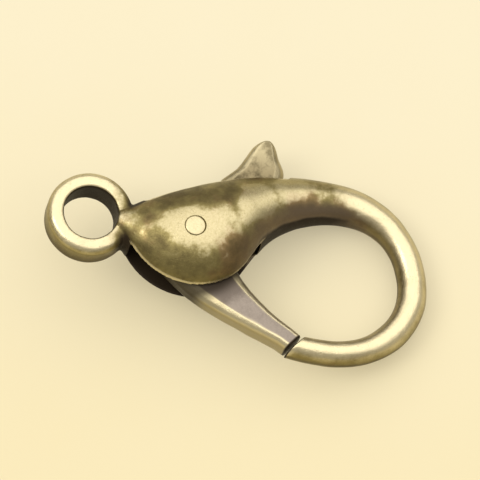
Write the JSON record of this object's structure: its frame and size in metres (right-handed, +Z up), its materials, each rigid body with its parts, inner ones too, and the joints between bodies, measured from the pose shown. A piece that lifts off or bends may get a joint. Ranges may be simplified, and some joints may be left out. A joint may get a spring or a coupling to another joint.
{
  "type": "lobster clasp",
  "caption": "Small cast lobster clasp with a ring, a slotted teardrop shell, a hook and a sprung gate lever on a rivet.",
  "frame": {"origin": "bottom centre of the bounding box, on the table that the clasp lies on", "axes": "+X from the ring towards the hook along the clasp, +Y towards the thumb tab, +Z up from the table; the clasp's own plane is tipped 9.1 degrees down towards the hook and rolled 2.8 degrees down towards the thumb tab, as it lies by itself"},
  "size_m": [0.0118, 0.0066, 0.0031],
  "materials": {
    "cast_brass": "antique brass plating, worn bright on the high spots",
    "lever_brass": "antique brass plating, satin",
    "rivet_brass": "antique brass plating",
    "spring_steel": "bare drawn wire, slightly dull"
  },
  "bodies": {
    "clasp": {"body": "cast_brass", "rivet": "rivet_brass", "spring": "spring_steel"},
    "gate": {"lever": "lever_brass"}
  },
  "joints": [
    {"name": "gate_hinge", "type": "hinge", "parent": "clasp", "child": "gate", "pos_m": [-0.00154, -0.00037, 0.00163], "axis": [0.1589, 0.0482, 0.9861], "range_deg": [0, 25], "stiffness_Nm_per_rad": 0.01, "deforming": ["spring"]}
  ]
}
